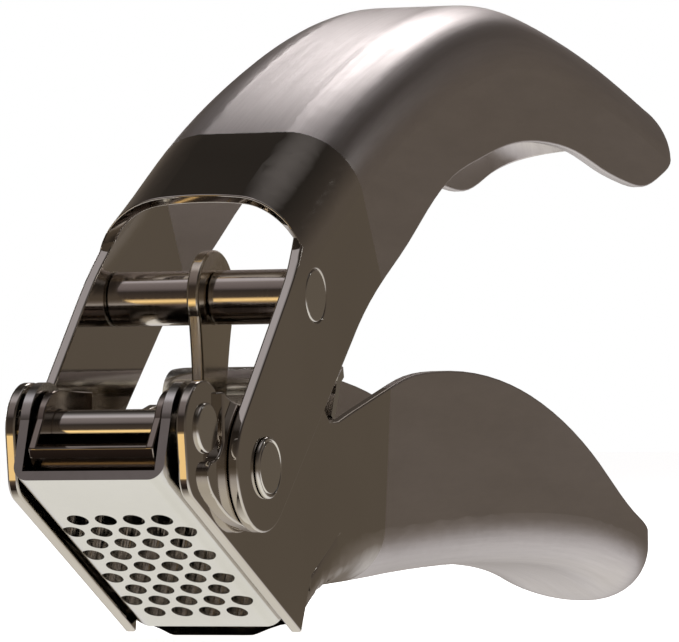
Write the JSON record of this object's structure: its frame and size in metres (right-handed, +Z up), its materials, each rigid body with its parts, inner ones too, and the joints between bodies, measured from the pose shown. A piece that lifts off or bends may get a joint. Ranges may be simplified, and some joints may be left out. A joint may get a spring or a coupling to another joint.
{
  "type": "garlic press",
  "caption": "Hand-held steel garlic press with two pressed-sheet handles, a perforated basket and a linked press plate.",
  "frame": {"origin": "on the surface the press stands on, under the middle of its box", "axes": "+X across the press, +Y from the head back along the handles, +Z up"},
  "size_m": [0.0306, 0.1878, 0.0849],
  "materials": {
    "lower_handle_steel": "lengthwise brushed grip, mirror-polished head and walls",
    "upper_handle_steel": "lengthwise brushed grip, mirror-polished head and walls",
    "sieve_steel": "polished, satin floor",
    "press_plate_steel": "mirror polished",
    "link_steel": "polished, tumbled edges",
    "pin_steel": "turned and polished",
    "sleeve_steel": "drawn tube, polished"
  },
  "bodies": {
    "lower": {"lower_handle": "lower_handle_steel", "sieve_basket": "sieve_steel", "front_pin": "pin_steel", "main_rivet_left": "pin_steel", "main_rivet_right": "pin_steel"},
    "upper": {"upper_handle": "upper_handle_steel", "cross_pin": "pin_steel", "cross_sleeve_left": "sleeve_steel", "cross_sleeve_right": "sleeve_steel"},
    "press": {"press_plate": "press_plate_steel", "link_pin": "pin_steel", "link_sleeve_left": "sleeve_steel", "link_sleeve_right": "sleeve_steel"},
    "link": {"link_plate": "link_steel"}
  },
  "joints": [
    {"name": "handle_squeeze", "type": "hinge", "parent": "lower", "child": "upper", "pos_m": [0, -0.07201, 0.0216], "axis": [1, 0, 0], "range_deg": [-21.6, 20]},
    {"name": "press_swing", "type": "hinge", "parent": "lower", "child": "press", "pos_m": [0, -0.08561, 0.0266], "axis": [1, 0, 0], "range_deg": [-11.7, 11.2]},
    {"name": "link_swing", "type": "hinge", "parent": "upper", "child": "link", "pos_m": [0, -0.05501, 0.0433], "axis": [1, 0, 0], "range_deg": [-1.4, 1.4]}
  ],
  "couplings": [
    {"joint": "press_swing", "follows": "handle_squeeze", "ratio": 0.53},
    {"joint": "link_swing", "follows": "handle_squeeze", "ratio": 0.055}
  ]
}
